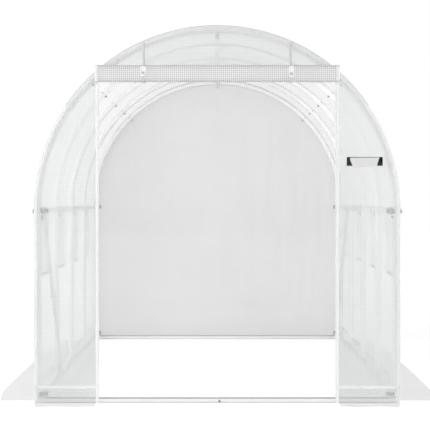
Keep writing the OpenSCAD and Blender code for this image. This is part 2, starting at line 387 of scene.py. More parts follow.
# Splice bolts go from the outside in, and a snap button shows beside each on the hoop's front
button_out = 0.007
button_way = outward * button_out / hoop_tube_r - [0, np.sqrt(1 - (button_out / hoop_tube_r) ** 2), 0]
to_inside = np.stack([-np.sign(rail_bolts[:, 0]), 0 * rail_bolts[:, 0], -1.0 * (rail_bolts[:, 0] == 0)],
                     axis=1)
brace_side = np.sign(brace_mids[:, [0]]) * np.array([[1.0, 0, 0]])
sill_face = np.array([[0, -1.0, 0], [0, 1.0, 0]])
frame_bolts = mesh_piece("frame_bolts", joined([
    placed(snap_button, on_hoop + button_way * hoop_tube_r, button_way),
    placed(dome_head, on_hoop + outward * (hoop_tube_r - 0.0035), outward),
    placed(nut_set, on_hoop - outward * hoop_tube_r, -outward),
    placed(nut_set, leg_top + inward * hoop_tube_r, inward),
    placed(dome_head, rail_bolts + to_inside * (rail_tube_r - 0.0004), to_inside),
    placed(dome_head, brace_mids - brace_side * rail_tube_r, -brace_side),
    placed(nut_set, brace_mids + brace_side * (rail_tube_r - 0.0030), brace_side),
    placed(dome_head, sills + sill_face * (sill_tube_r - 0.0005) + [0.012, 0, -0.004], sill_face),
]), zinc)
frame_bolts.modifiers.new("corners", "BEVEL").width = 0.0003
frame_bolts.modifiers["corners"].segments = 1
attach(frame_bolts, "root")


# ---- Rail ends ---------------------------------------------------------------------------
# Every rail ends in a white plastic plug with a rim, and a ribbed plate of black plastic ties
# the rail's end to the end hoop. Both lie close behind the end film and show through it.

black_plastic = patterned("black_plate_plastic", 900.0, (0.014, 0.014, 0.015, 1), bump=0.15, Roughness=0.6,
                          Specular_IOR_Level=0.2)
white_plastic = patterned("white_plug_plastic", 900.0, grey(0.85), bump=0.15, Roughness=0.6,
                          Specular_IOR_Level=0.2)

plug_lip, plug_r, plug_bore = 0.0011, 0.0096, 0.0052
plug = turned([(plug_r, 0.0), (plug_r - 0.0005, plug_lip), (plug_bore + 0.0004, plug_lip), (plug_bore, 0.0)],
              28)
rail_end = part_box("ridge_rail")[1].y
wall_ends = [(x, way, z) for x, z in rail_lines[:4] for way in (-1.0, 1.0)]
rail_plugs = mesh_piece("rail_plugs", placed(plug, [(x, way * rail_end, z) for x, way, z in wall_ends],
                                             [(0, way, 0) for _, way, _ in wall_ends]), white_plastic)


def block(width, depth, height, cut=0.0006):
    """A bar with chamfered upright edges, centred on the origin: an eight-sided outline at foot and top."""
    w, d, h = width / 2, depth / 2, height / 2
    edge = np.array([(w, -d + cut), (w, d - cut), (w - cut, d), (-w + cut, d), (-w, d - cut), (-w, -d + cut),
                     (-w + cut, -d), (w - cut, -d)])
    rings = [np.column_stack([edge * scale, np.full(8, z)])
             for scale, z in ((0, -h), (1, -h), (1, h), (0, h))]
    return np.concatenate(rings), grid_faces(4, 8, closed=True)


# The plate at each wall rail's end has four upright ribs, and the one at each ridge end two short ones
rib, ridge_rib = block(0.0034, 0.0024, 0.027), block(0.0030, 0.0024, 0.009)
ribs = [(rib, x - np.sign(x) * inner, way, z) for x, way, z in wall_ends
        for inner in (-0.0118, -0.0009, 0.0100, 0.0209)]
ribs += [(ridge_rib, x, way, ridge_h) for way in (-1.0, 1.0) for x in (-0.0055, 0.0055)]
rail_clamps = mesh_piece("rail_clamps", joined([(points + [x, way * (rail_end + 0.0002), z], faces)
                                                for (points, faces), x, way, z in ribs]),
                         black_plastic, flat_shaded=True)
for piece in (rail_plugs, rail_clamps):
    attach(piece, "root")


# ---- Cover -------------------------------------------------------------------------------
# One length of clear white film with a thread grid in it runs from the skirt on one side, up
# the wall, over the hoops and down to the other skirt. It is pulled tight over the hoops, sags
# a little inwards between them, and has four windows cut out of each wall.

def film_material(name, clear_cell, clear_thread, cell_colour, thread_colour, glow=0.5, slack=0.5,
                  raised=0.6):
    """Film with a grid of threads. The pattern's lines are where the developed place divided by the pitch is
    near a half more than a whole number, one way or the other. A share of light goes straight through:
    clear_cell between the threads and clear_thread on them. Of the rest, the share glow goes through as
    scattered light. slack is the strength of the soft creases, and raised that of the threads."""
    pitch, line_share, line_blur = 0.0110, 0.36, 0.06
    material, tree = new_material(name)
    flat_cut = add_node(tree, "UVMap", {}, uv_map="developed").outputs[0]
    ways = add_node(tree, "SeparateXYZ", {0: flat_cut}).outputs
    lines = []
    for run in (ways["X"], ways["Y"]):
        share = worked_out(tree, "FRACT", worked_out(tree, "DIVIDE", run, pitch))
        off = worked_out(tree, "ABSOLUTE", worked_out(tree, "SUBTRACT", share, 0.5))
        lines.append(add_node(tree, "MapRange", {"Value": off, "From Min": line_share / 2 + line_blur,
                                                 "From Max": line_share / 2 - line_blur},
                              interpolation_type="SMOOTHSTEP").outputs[0])
    thread = worked_out(tree, "MAXIMUM", *lines)
    body = add_node(tree, "TexCoord", {}).outputs["Object"]
    cloud = add_node(tree, "TexNoise", {"Vector": body, "Scale": 3.2, "Detail": 3.0})
    shade = add_node(tree, "MapRange", {"Value": cloud.outputs["Fac"], "From Min": 0.3, "From Max": 0.7,
                                        "To Min": 0.965, "To Max": 1.0})
    paint = blend(tree, thread, cell_colour, thread_colour)
    paint = blend(tree, 1.0, paint, shade.outputs[0], "MULTIPLY")
    crease = add_node(tree, "TexNoise", {"Vector": body, "Scale": 26.0, "Detail": 3.0, "Roughness": 0.55})
    soft_bump = add_node(tree, "Bump", {"Height": crease.outputs["Fac"], "Strength": slack,
                                        "Distance": 0.0016})
    bump = add_node(tree, "Bump", {"Height": thread, "Strength": raised, "Distance": 0.0003,
                                   "Normal": soft_bump.outputs[0]}).outputs[0]
    face = add_node(tree, "BsdfPrincipled", {"Base Color": paint, "Roughness": 0.38,
                                             "Specular IOR Level": 0.35, "Normal": bump})
    through = add_node(tree, "BsdfTranslucent", {"Color": paint, "Normal": bump})
    film = add_node(tree, "MixShader", {0: glow, 1: face.outputs[0], 2: through.outputs[0]})
    if clear_cell > 0:
        opening = add_node(tree, "MapRange", {"Value": thread, "To Min": clear_cell, "To Max": clear_thread})
        clear = add_node(tree, "BsdfTransparent", {"Color": (0.993, 1.0, 0.997, 1)})
        film = add_node(tree, "MixShader", {0: opening.outputs[0], 1: film.outputs[0], 2: clear.outputs[0]})
    add_node(tree, "OutputMaterial", {"Surface": film.outputs[0]})
    return material


def refinish(piece, chosen, finish):
    """Gives the chosen faces of a piece a second finish."""
    piece.data.materials.append(finish)
    piece.data.polygons.foreach_set("material_index", np.asarray(chosen, np.int32))


def waves(along, across, terms):
    """A sum of sine waves: each term is (height, turns per metre along, turns per metre across, phase)."""
    return sum(h * np.sin(2 * np.pi * (a * along + b * across) + p) for h, a, b, p in terms)


def between(*stops, step=0.022):
    """Numbers through the given stops in order, evenly spaced between each two, at most step apart."""
    runs = [np.linspace(a, b, max(2, int(np.ceil(abs(b - a) / step)) + 1))[:-1]
            for a, b in zip(stops, stops[1:])]
    return np.append(np.concatenate(runs), stops[-1])


grid_film = film_material("grid_film", 0.60, 0.46, grey(0.70), grey(0.70), raised=0.35)
skirt_film = film_material("skirt_film", 0.42, 0.42, grey(0.74), grey(0.74), raised=0.0)

film_low, film_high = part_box("right_wall_film")
skirt_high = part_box("right_ground_skirt")[1]
film_inset = 0.001
film_x = film_high.x - film_inset
cover_end = film_high.y
window_w, window_h, window_top = 0.370, 0.345, 1.040
window_low = window_top - window_h
skirt_corner, skirt_nip, skirt_fade = 0.045, 0.055, 0.33
skirt_w = skirt_high.x - film_x
skirt_end = skirt_high.y - skirt_corner
skirt_lift, side_ripple, end_ripple = 0.0012, 0.0035, 0.003
roof_sag, wall_sag = 0.0075, 0.0045

window_y = hoop_y[:-1] + bay / 2
window_edges = np.concatenate([[y - window_w / 2, y + window_w / 2] for y in window_y])
rows_y = between(-cover_end, -skirt_end, *window_edges, skirt_end, cover_end)
skirt_t = np.linspace(1, 0, 12)[:-1]
wall_z = between(0, window_low, window_top, spring_h)
roof_a = np.radians(np.linspace(0, 90, 61))[1:]

# The skirt fans out to its corners, is nipped in at its ends and lies in low ripples
t, y = np.meshgrid(skirt_t, rows_y, indexing="ij")
fan = y * (1 + (skirt_high.y / skirt_end - 1) * np.sin(np.minimum(1, t * 5) * np.pi / 2))
reach = skirt_w - skirt_nip * np.exp(-(skirt_high.y - np.abs(fan)) / skirt_fade)
ripple = 0.5 + 0.5 * np.sin(fan * 9.0 + 3.0 * t) * np.cos(fan * 3.7)
skirt_half = np.stack([film_x + t * reach, fan, skirt_lift + side_ripple * ripple * t], axis=-1)
skirt_cut = np.stack([film_x * np.pi / 2 + spring_h + t * reach, fan], axis=-1)


def cover_depth(y, height, weight):
    """How far the film lies inside its true outline: a parabola between each two hoops, and folds that fade
    at the hoops."""
    share = ((y - hoop_y[0]) / bay) % 1.0
    inside = (y > hoop_y[0]) & (y < hoop_y[-1])
    belly = np.where(inside, 4 * share * (1 - share), 0.0)
    folds = waves(y, height, [(0.0011, 3.1, 0.35, 0.4), (0.0008, 5.3, -0.5, 1.9), (0.0006, 1.4, 1.2, 3.0)])
    return weight * belly + folds * (0.15 + 0.85 * belly) * np.minimum(1, weight / wall_sag)


z, y = np.meshgrid(wall_z, rows_y, indexing="ij")
near_edge = np.clip(z / 0.30, 0, 1)
near_spring = np.clip((z - 0.6) / (spring_h - 0.6), 0, 1)
depth = cover_depth(y, z, wall_sag * near_edge * (1 + 0.4 * near_spring))
wall_half = np.stack([film_x - depth, y, z], axis=-1)
wall_cut = np.stack([film_x * np.pi / 2 + spring_h - z, y], axis=-1)

a, y = np.meshgrid(roof_a, rows_y, indexing="ij")
depth = cover_depth(y, spring_h + film_x * a, wall_sag * 1.4 + (roof_sag - wall_sag * 1.4) * np.sin(a))
roof_half = np.stack([(film_x - depth) * np.cos(a), y, spring_h + (film_x - depth) * np.sin(a)], axis=-1)
roof_cut = np.stack([film_x * (np.pi / 2 - a), y], axis=-1)

half = np.concatenate([skirt_half, wall_half, roof_half])
half_cut = np.concatenate([skirt_cut, wall_cut, roof_cut])
cover_points = np.concatenate([half, half[-2::-1] * [-1, 1, 1]])
cover_cut = np.concatenate([half_cut, half_cut[-2::-1] * [-1, 1]])
stations, lines = cover_points.shape[:2]
faces = grid_faces(stations, lines)
centre = cover_points.reshape(-1, 3)[faces].mean(axis=1)
station, line = faces[:, 0] // lines, faces[:, 0] % lines
row_mid = (rows_y[:-1] + rows_y[1:])[line] / 2
on_skirt = (station < len(skirt_t)) | (station >= stations - 1 - len(skirt_t))
in_window = (np.abs(row_mid[:, None] - window_y[None]) < window_w / 2).any(axis=1) & ~on_skirt
in_window &= (centre[:, 2] > window_low) & (centre[:, 2] < window_top)
in_window &= np.abs(centre[:, 0]) > film_x * 0.95
keep = ~in_window & ~(on_skirt & (np.abs(row_mid) > skirt_end))
cover = mesh_piece("film_cover", (cover_points.reshape(-1, 3), faces[keep][:, ::-1]), grid_film,
                   developed=cover_cut.reshape(-1, 2))
refinish(cover, on_skirt[keep], skirt_film)
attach(cover, "root")
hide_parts("left_wall_film", "right_wall_film", "roof_film_left_low", "roof_film_left_mid",
            "roof_film_left_top", "roof_film_right_top", "roof_film_right_mid", "roof_film_right_low",
            "left_ground_skirt", "right_ground_skirt")


# ---- Door end ----------------------------------------------------------------------------
# The same film, cut to the tunnel's outline with the doorway out of it, is sewn to the end of
# the cover. Below each side panel it turns outwards and lies on the ground as a skirt.

door_w, door_h = 1.290, 1.790
panel_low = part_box("front_left_panel")[0]
end_y, outline_r = -panel_low.y, -panel_low.x
end_film_y = end_y - film_inset
tape_low, tape_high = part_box("right_zip_tape")
tape_w = tape_high.x - tape_low.x
skirt_in = door_w / 2 + tape_w
end_skirt_w = -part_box("front_right_skirt")[0].y - end_y
skirt_taper = 0.026
top_rows, low_rows = 8, 90


def end_outline(x):
    """Height of the tunnel's outline above a place across it."""
    return spring_h + np.sqrt(np.maximum(0, outline_r ** 2 - x ** 2))


def end_bulge(x, z, seed, cut_out):
    """How far the end film stands off its plane: nothing along the rim, the hem and a doorway that is cut out
    of it, and soft upright folds between."""
    from_rim = np.minimum(outline_r - np.hypot(x, np.maximum(0, z - spring_h)), 1.0)
    beside_door = (np.abs(x) > door_w / 2) | (z < door_h)
    from_door = np.where(beside_door, np.abs(x) - door_w / 2 - tape_w, z - door_h - 0.02)
    weight = np.clip((from_rim - 0.036) / 0.09, 0, 1) * np.clip((z - 0.10) / 0.25, 0, 1)
    weight = weight * np.where(cut_out, np.clip(from_door / 0.07, 0, 1), 1.0)
    folds = waves(z, x, [(0.0010, 0.35, 5.3, seed), (0.0007, -0.5, 9.7, 2 * seed), (0.0006, 1.1, 2.1, 0.3)])
    return weight * (0.0024 + folds)


drop_t = np.linspace(1, 0, 9)[:-1, None]


def end_skirt(x, way, turn):
    """An end skirt's grid from its far edge in, on the end that faces that way. It lies in low ripples, whose
    height goes with half of 1 + sin(turn x)."""
    y = way * (end_film_y + drop_t * (end_skirt_w + film_inset)) + 0 * x
    return np.stack([x, y, skirt_lift + end_ripple * drop_t * (0.5 + 0.5 * np.sin(x * turn))], axis=-1)


# A side panel's columns run from the rim to the doorway, and its rows up to the doorway's top and on
door_edge = door_w / 2
edge_angle, skirt_angle = np.arccos(door_edge / outline_r), np.arccos(skirt_in / outline_r)
column_a = np.concatenate([np.linspace(0, skirt_angle, 30)[:-1], np.linspace(skirt_angle, edge_angle, 3)])
side_x = outline_r * np.cos(column_a)
split = end_outline(side_x) * door_h / end_outline(door_edge)
low_t, top_t = np.linspace(0, 1, low_rows + 1)[:-1], np.linspace(0, 1, top_rows + 1)
side_z = np.concatenate([low_t[:, None] * split, split + top_t[:, None] * (end_outline(side_x) - split)])
side_x2 = np.broadcast_to(side_x, side_z.shape)
upright = np.stack([side_x2, -end_film_y - end_bulge(side_x2, side_z, 1.1, True),
                    np.maximum(side_z, 0.0014)], axis=-1)

# Its skirt drops from the foot and tapers; the columns beside the zip tape have none
skirt_columns = len(column_a) - 2
drop_x = skirt_in + (side_x[:skirt_columns] - skirt_in) * (1 - drop_t * skirt_taper / (outline_r - skirt_in))
lying = end_skirt(drop_x, -1, 31.0)
lying = np.concatenate([lying, np.repeat(lying[:, -1:], len(column_a) - skirt_columns, axis=1)], axis=1)
lying_cut = np.stack(np.broadcast_arrays(lying[..., 0], -drop_t * end_skirt_w), axis=-1)
side_points = np.concatenate([lying, upright]).reshape(-1, 3)
side_cut = np.concatenate([lying_cut, np.stack([side_x2, side_z], axis=-1)]).reshape(-1, 2)
side_faces = grid_faces(len(drop_t) + len(side_z), len(column_a))
face_row, face_column = side_faces[:, 0] // len(column_a), side_faces[:, 0] % len(column_a)
side_kept = (face_row >= len(drop_t)) | (face_column < skirt_columns - 1)
side_lying = (face_row < len(drop_t))[side_kept]
side_faces = side_faces[side_kept]

top_x = np.linspace(-door_edge, door_edge, 61)
top_z = door_h + top_t[:, None] * (end_outline(top_x) - door_h)
top_x2 = np.broadcast_to(top_x, top_z.shape)
top_points = np.stack([top_x2, -end_film_y - end_bulge(top_x2, top_z, 1.1, True), top_z], axis=-1)
door_end_parts = joined([(side_points, side_faces), (side_points * [-1, 1, 1], side_faces[:, ::-1]),
                         surface(top_points, flip=True)])
door_end_cut = np.concatenate([side_cut, side_cut * [-1, 1],
                               np.stack([top_x2, top_z], axis=-1).reshape(-1, 2)])
end_film = film_material("door_end_film", 0.60, 0.52, (0.78, 0.794, 0.788, 1), (0.74, 0.754, 0.748, 1),
                         glow=0.32, raised=0.15)
door_end = mesh_piece("door_end_film", door_end_parts, end_film, developed=door_end_cut)
refinish(door_end, np.concatenate([side_lying, side_lying, np.zeros(top_rows * (len(top_x) - 1), bool)]),
         skirt_film)
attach(door_end, "root")
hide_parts("front_left_panel", "front_right_panel", "front_top_panel", "front_left_skirt",
            "front_right_skirt")


# ---- Closed end --------------------------------------------------------------------------
# A whole panel of a denser, greyer film closes the other end, with a skirt along its foot.

back_film = film_material("closed_end_film", 0.20, 0.19, grey(0.64), grey(0.65), slack=0.2, raised=0.1)
back_x = outline_r * np.cos(np.linspace(0, np.pi, 101))
back_z = np.linspace(0, 1, 101)[:, None] * end_outline(back_x)
back_x2 = np.broadcast_to(back_x, back_z.shape)
upright = np.stack([back_x2, end_film_y + end_bulge(back_x2, back_z, 2.3, False), back_z], axis=-1)
drop_x = back_x * (1 - drop_t * skirt_taper / outline_r)
lying_cut = np.stack(np.broadcast_arrays(drop_x, -drop_t * end_skirt_w), axis=-1)
back_cut = np.concatenate([lying_cut, np.stack([back_x2, back_z], axis=-1)])
back_points = np.concatenate([end_skirt(drop_x, 1, 17.0), upright])
closed_end = mesh_piece("closed_end_film", surface(back_points, flip=True), back_film,
                        developed=back_cut.reshape(-1, 2))
refinish(closed_end, np.arange(len(closed_end.data.polygons)) < len(drop_t) * (len(back_x) - 1), skirt_film)
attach(closed_end, "root")
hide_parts("back_panel", "back_skirt")


# ---- Rim bands, hems and piping ----------------------------------------------------------
# Where an end panel meets the cover, a doubled strip of film is turned in and sewn down round
# the whole rim over a cord of piping, with grey overlock stitches on the edge over the arch.
# The foot of every wall has a doubled hem, closed at its top by a heavier strip.

rim_w, hem_h, hem_foot, hem_tape_w = 0.024, 0.080, 0.036, 0.016
piping_r, piping_in, piping_sunk = 0.0027, 0.0135, 0.0018
sewn_off, pattern_shift = 0.0006, 0.0037
doubled_film = film_material("doubled_film", 0.80, 0.62, grey(0.98), grey(0.76), slack=0.3, raised=0.2)
rim_film = film_material("rim_film", 0.22, 0.22, grey(0.94), grey(0.94), slack=0.3, raised=0.0)
hem_film = film_material("hem_film", 0.30, 0.30, grey(0.95), grey(0.95), glow=0.3, slack=0.3, raised=0.0)
grey_thread = patterned("grey_overlock_thread", 300.0, grey(0.34), grey(0.46), Roughness=0.8)

white_tape, tree = new_material("white_sewn_tape")
place = add_node(tree, "TexCoord", {}).outputs["Object"]
weave = add_node(tree, "TexWave", {"Vector": place, "Scale": 420.0, "Distortion": 1.0},
                 bands_direction="DIAGONAL")
weave_bump = add_node(tree, "Bump", {"Height": weave.outputs["Fac"], "Strength": 0.3, "Distance": 0.0002})
mottle = add_node(tree, "TexNoise", {"Vector": place, "Scale": 60.0, "Detail": 2.0})
tape_shade = add_node(tree, "MapRange", {"Value": mottle.outputs["Fac"], "To Min": 0.93, "To Max": 0.98})
tape_face = add_node(tree, "BsdfPrincipled", {"Base Color": tape_shade.outputs[0], "Roughness": 0.7,
                                              "Sheen Weight": 0.15, "Normal": weave_bump.outputs[0]})
tape_glow = add_node(tree, "BsdfTranslucent", {"Color": grey(0.93)})
tape_mix = add_node(tree, "MixShader", {0: 0.28, 1: tape_face.outputs[0], 2: tape_glow.outputs[0]})
add_node(tree, "OutputMaterial", {"Surface": tape_mix.outputs[0]})

rim_z = between(0, spring_h, step=0.05)
rim_a = np.radians(np.linspace(0, 180, 121))[1:-1]
rim_x = np.concatenate([np.full(len(rim_z), 1.0), np.cos(rim_a), np.full(len(rim_z), -1.0)])
rim_up = np.concatenate([0 * rim_z, np.sin(rim_a), 0 * rim_z])
rim_base = np.concatenate([rim_z, spring_h + 0 * rim_a, rim_z[::-1]])


def rim_line(radius, y):
    """The tunnel's outline at that distance from its middle, in the plane at y: up one wall, round the roof
    and down the other."""
    return np.stack([rim_x * radius, y + 0 * rim_x, rim_base + rim_up * radius], axis=1)


def rim_band(y):
    """A flat strip along the inside of the rim, in the plane at y, facing outwards."""
    lines = [rim_line(radius, y) for radius in np.linspace(outline_r, outline_r - rim_w, 4)]
    return surface(np.stack(lines), flip=y > 0)


def closed_sweep(path, ring):
    """A part from a ring of points at each place on a path, drawn in to a point at both ends."""
    sides = ring.shape[1]
    points = np.concatenate([path[:1].repeat(sides, 0)[None], ring, path[-1:].repeat(sides, 0)[None]])
    return points.reshape(-1, 3), grid_faces(len(points), sides, closed=True)


def directions(path):
    """The unit direction of a path at each of its points."""
    ahead = np.gradient(path, axis=0)
    return ahead / np.linalg.norm(ahead, axis=1, keepdims=True)


def tube_along(path, radius, sides=8):
    """A round cord along a path: each ring lies in the plane across the path's direction there, and its
    points are the path's point plus radius times (cos a, sin a) in that plane."""
    path = np.asarray(path, float)
    ahead = directions(path)
    helper = np.array([0.0, 1.0, 0.0]) if np.abs(ahead[:, 1]).max() < 0.95 else np.array([0.0, 0.0, 1.0])
    one = np.cross(ahead, helper)
    one /= np.linalg.norm(one, axis=1, keepdims=True)
    two = np.cross(ahead, one)
    a = np.arange(sides)[None, :, None] * 2 * np.pi / sides
    around = radius * (np.cos(a) * one[:, None] + np.sin(a) * two[:, None])
    points, faces = closed_sweep(path, path[:, None] + around)
    return points, faces[:, ::-1]


def thicken(piece, thickness, offset):
    """Gives a flat piece its thickness. offset is the side it grows to: 1 outwards, -1 inwards, 0 both."""
    thick = piece.modifiers.new("thickness", "SOLIDIFY")
    thick.thickness = thickness
    thick.offset = offset


bands = joined([rim_band(-end_y - sewn_off), rim_band(end_y + sewn_off)])
rim_bands = mesh_piece("rim_bands", bands, rim_film, developed=bands[0][:, [0, 2]] + pattern_shift)
edge_piping = mesh_piece("edge_piping", joined([
    tube_along(rim_line(outline_r - piping_in, y), piping_r)
    for y in (piping_sunk - end_y, end_y - piping_sunk)]), white_tape)
thread_r, thread_sunk, over_arch = 0.0011, 0.0002, rim_up > 0.55
edge_stitch = mesh_piece("edge_stitching", joined([
    tube_along(rim_line(outline_r + sewn_off, y)[over_arch], thread_r, sides=6)
    for y in (thread_sunk - end_y, end_y - thread_sunk)]), grey_thread)


def wall_strip(x0, x1, y0, y1, z0, z1, columns=24):
    """An upright flat strip from (x0, y0) to (x1, y1), between two heights."""
    s = np.linspace(0, 1, columns)
    line = np.stack([x0 + (x1 - x0) * s, y0 + (y1 - y0) * s, 0 * s], axis=1)
    return surface(np.stack([line + [0, 0, z] for z in (z0, z1)]))


# The four hems run along the foot of the two door-end panels and of the two walls
hem_y, hem_x = end_y + sewn_off, outline_r + sewn_off
hem_runs = [(rim_w - outline_r, -skirt_in, -hem_y, -hem_y), (skirt_in, outline_r - rim_w, -hem_y, -hem_y),
            (hem_x, hem_x, -cover_end, cover_end), (-hem_x, -hem_x, cover_end, -cover_end)]
hems = joined([wall_strip(*run, low, high) for low, high in ((hem_foot, hem_h), (hem_foot - 0.004, hem_foot))
               for run in hem_runs])
in_seam = np.arange(len(hems[0])) >= len(hems[0]) // 2
hem_cut = np.stack([0 * hems[0][:, 2], np.where(in_seam, 0.0055, hems[0][:, 2] + 0.0020)], axis=1)
foot_hems = mesh_piece("foot_hems", hems, doubled_film, developed=hem_cut)
tapes = joined([wall_strip(x0, x1, y0 - sewn_off * (y0 == y1), y1 - sewn_off * (y0 == y1), hem_h,
                           hem_h + hem_tape_w) for x0, x1, y0, y1 in hem_runs])
hem_tapes = mesh_piece("hem_tapes", tapes, hem_film, developed=np.zeros((len(tapes[0]), 2)), flat_shaded=True)
thicken(hem_tapes, 0.0008, 1.0)
for piece in (rim_bands, edge_piping, edge_stitch, foot_hems, hem_tapes):
    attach(piece, "root")


# ---- Zip tapes ---------------------------------------------------------------------------
# Each upright edge of the doorway carries one half of a heavy coil zip: a white woven tape
# sewn to the film, with the row of teeth along its free edge.

def bar_loop(width, thick, length, steps=5):
    """One rounded bar along X: its section is a rounded rectangle, drawn in to a point at both ends."""
    s = np.linspace(-1, 1, steps)[:, None]
    draw = np.sqrt(np.maximum(0, 1 - np.abs(s) ** 4)) / 2 * 1.08
    a = np.arange(8) * np.pi / 4 + np.pi / 8
    ring = np.stack([s * length / 2 + 0 * a, draw * width * np.cos(a), draw * thick * np.sin(a)], axis=-1)
    return ring.reshape(-1, 3), grid_faces(steps, 8, closed=True)


tooth_pitch, tape_thick = 0.0030, 0.0009
zip_face = -end_y - 0.0008
tape_z = between(tape_low.z, tape_high.z, step=0.03)
tooth_z = np.arange(tape_low.z + 0.010, tape_high.z - 0.004, tooth_pitch)
tooth, tooth_faces = bar_loop(0.0017, 0.0018, 0.0046)
for side, name in ((-1, "left"), (1, "right")):
    inner, outer = side * door_edge, side * (door_edge + tape_w)
    across = np.array([inner, inner + side * 0.0006, outer - side * 0.0006, outer])
    proud = np.array([0.0, -tape_thick, -tape_thick, 0.0])
    strip = np.stack(np.broadcast_arrays(across[:, None], zip_face + proud[:, None], tape_z), axis=-1)
    zip_tape = mesh_piece(name + "_zip_tape_cloth", surface(strip, flip=side < 0), white_tape)
    tooth_at = np.stack(np.broadcast_arrays(inner + side * 0.0006, zip_face - 0.0008, tooth_z), axis=1)
    teeth = mesh_piece(name + "_zip_teeth", copies(tooth + tooth_at[:, None], tooth_faces), white_tape)
    for piece in (zip_tape, teeth):
        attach(piece, "root")
    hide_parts(name + "_zip_tape")


# ---- Rolled door -------------------------------------------------------------------------
# The door curtain is the same film, rolled up to the top of the doorway. Its section is a
# spiral of eight turns, a little flattened, and its zip edges show white at both ends.

# Painted shade: the rolled film is opaque, and the cells between its threads are painted dark for the shade
# inside the roll
rolled_film = film_material("rolled_film", 0.0, 0.0, grey(0.57), grey(0.93), glow=0.12, slack=0.25)
roll_low, roll_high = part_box("door_roll")
roll_r = (roll_high.z - roll_low.z) / 2
roll_y, roll_z = middle("door_roll")[1:]
tie_x = abs(middle("left_door_tie")[0])
roll_turns, layer, squareness, slack_in = 8, 0.0036, 5.0, 0.0008


def roll_section(angle, radius):
    """A point on the flattened roll: the radius divided by (|cos|^k + |sin|^k)^(1/k), for a large k."""
    corner = np.abs(np.cos(angle)) ** squareness + np.abs(np.sin(angle)) ** squareness
    reach = radius * corner ** (-1 / squareness)
    return reach * np.cos(angle), reach * np.sin(angle)


def spiral_sheet(x, outer_r, pinch, steps=56):
    """The curtain rolled up along X: its radius grows evenly with the angle, and pinch is how much is taken
    off at each x. Returns the grid of points, and their places on the flat sheet."""
    angle = np.linspace(0, roll_turns * 2 * np.pi, roll_turns * steps + 1) + np.radians(100)
    radius = np.linspace(outer_r - roll_turns * layer, outer_r, len(angle))
    uneven = waves(angle[:, None] / (2 * np.pi), x[None], [(0.0005, 1.0, 1.9, 0.2), (0.0003, 2.0, 4.1, 1.3)])
    spread = radius[:, None] - (pinch[None] + slack_in + uneven) * (radius / outer_r)[:, None]
    flat_y, flat_z = roll_section(angle[:, None], spread)
    points = np.stack([np.broadcast_to(x, flat_y.shape), -flat_y, flat_z], axis=-1)
    run = np.concatenate([[0], np.cumsum(np.linalg.norm(np.diff(points[:, 0], axis=0), axis=1))])
    cut = np.stack(np.broadcast_arrays(x, run[:, None] + pattern_shift), axis=-1)
    return points + [0, roll_y, roll_z], cut


curtain_x = between(-door_edge, -tie_x - 0.03, -tie_x, -tie_x + 0.03, tie_x - 0.03, tie_x, tie_x + 0.03,
                    door_edge)
pinched = 0.0022 * np.exp(-((np.abs(curtain_x) - tie_x) / 0.014) ** 2)
roll_points, roll_cut = spiral_sheet(curtain_x, roll_r, pinched)
curtain = mesh_piece("rolled_curtain", surface(roll_points), rolled_film, developed=roll_cut.reshape(-1, 2))
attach(curtain, "root")
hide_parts("door_roll")

edge_parts = []
for side in (-1, 1):
    edge_x = np.sort(side * np.linspace(door_edge - 0.002, roll_high.x, 4))
    edge_parts.append(surface(spiral_sheet(edge_x, roll_r + 0.0006, 0 * edge_x)[0]))
curtain_edges = mesh_piece("curtain_zip_edges", joined(edge_parts), white_tape)
thicken(curtain_edges, 0.0014, 0.0)
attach(curtain_edges, "root")


# ---- Door ties ---------------------------------------------------------------------------
# A grey webbing strap is sewn in at the arch seam, comes down the film, goes behind the roll
# and round it, and is pulled tight in a white plastic buckle on the front.

webbing = patterned("grey_webbing", 260.0, (0.60, 0.61, 0.61, 1), (0.72, 0.73, 0.73, 1), ribs=0.4, bump=0.5,
                    depth=0.0004, Roughness=0.8, Sheen_Weight=0.2)
buckle_plastic = patterned("white_buckle_plastic", 700.0, grey(0.92), bump=0.1, Roughness=0.35)


def ribbon(path, width, thickness, across=(1.0, 0.0, 0.0)):
    """A flat band along a path: the section's corners are the path's point plus or minus half the width along
    the across direction, and half the thickness along the normal, with its corners cut."""
    path, across = np.asarray(path, float), np.asarray(across, float)
    normal = np.cross(directions(path), across)
    w, h, cut = width / 2, thickness / 2, min(width, thickness) * 0.22
    corner = np.array([(w - cut, h), (-w + cut, h), (-w, h - cut), (-w, -h + cut), (-w + cut, -h),
                       (w - cut, -h), (w, -h + cut), (w, h - cut)])
    around = corner[None, :, [0]] * across + corner[None, :, [1]] * normal[:, None]
    return closed_sweep(path, path[:, None] + around)


def around_roll(start, stop, clear, steps=40):
    """Points round the door roll at that clearance, from one angle to another in degrees. 0 is the front."""
    angle = np.radians(np.linspace(start, stop, steps))
    y, z = roll_section(angle, roll_r - 0.0018 + clear)
    return np.stack([0 * y, roll_y - y, roll_z + z], axis=1)


strap_w, strap_t, buckle_w = 0.0140, 0.0012, 0.0255
film_front = -end_y - 0.0045
hang_z = np.linspace(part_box("left_door_tie")[1].z, roll_z + 0.052, 12)
hang = np.stack([0 * hang_z, film_front + 0 * hang_z, hang_z], axis=1)
behind = around_roll(140, 335, 0.0012)
strap_path = np.concatenate([hang, [[0, (film_front + behind[0, 1]) / 2 + 0.002, roll_z + 0.043]], behind])
front_path = around_roll(-60, 52, 0.0030)
buckle_rise = 0.014
buckle_at = np.array([0, roll_y - roll_r - 0.0040, roll_z + buckle_rise])


def loop_path(width, height, corner, steps=6):
    """A rounded rectangle as a closed path in the X-Z plane, from the middle of its foot and back to it."""
    w, h = width / 2 - corner, height / 2 - corner
    quarter = np.linspace(0, np.pi / 2, steps)
    centres = [(w, -h, -np.pi / 2), (w, h, 0), (-w, h, np.pi / 2), (-w, -h, np.pi)]
    bends = [np.stack([cx + corner * np.cos(a0 + quarter), 0 * quarter, cz + corner * np.sin(a0 + quarter)],
                      axis=1) for cx, cz, a0 in centres]
    return np.concatenate([[[0, 0, -height / 2]]] + bends + [[[-0.0001, 0, -height / 2]]])


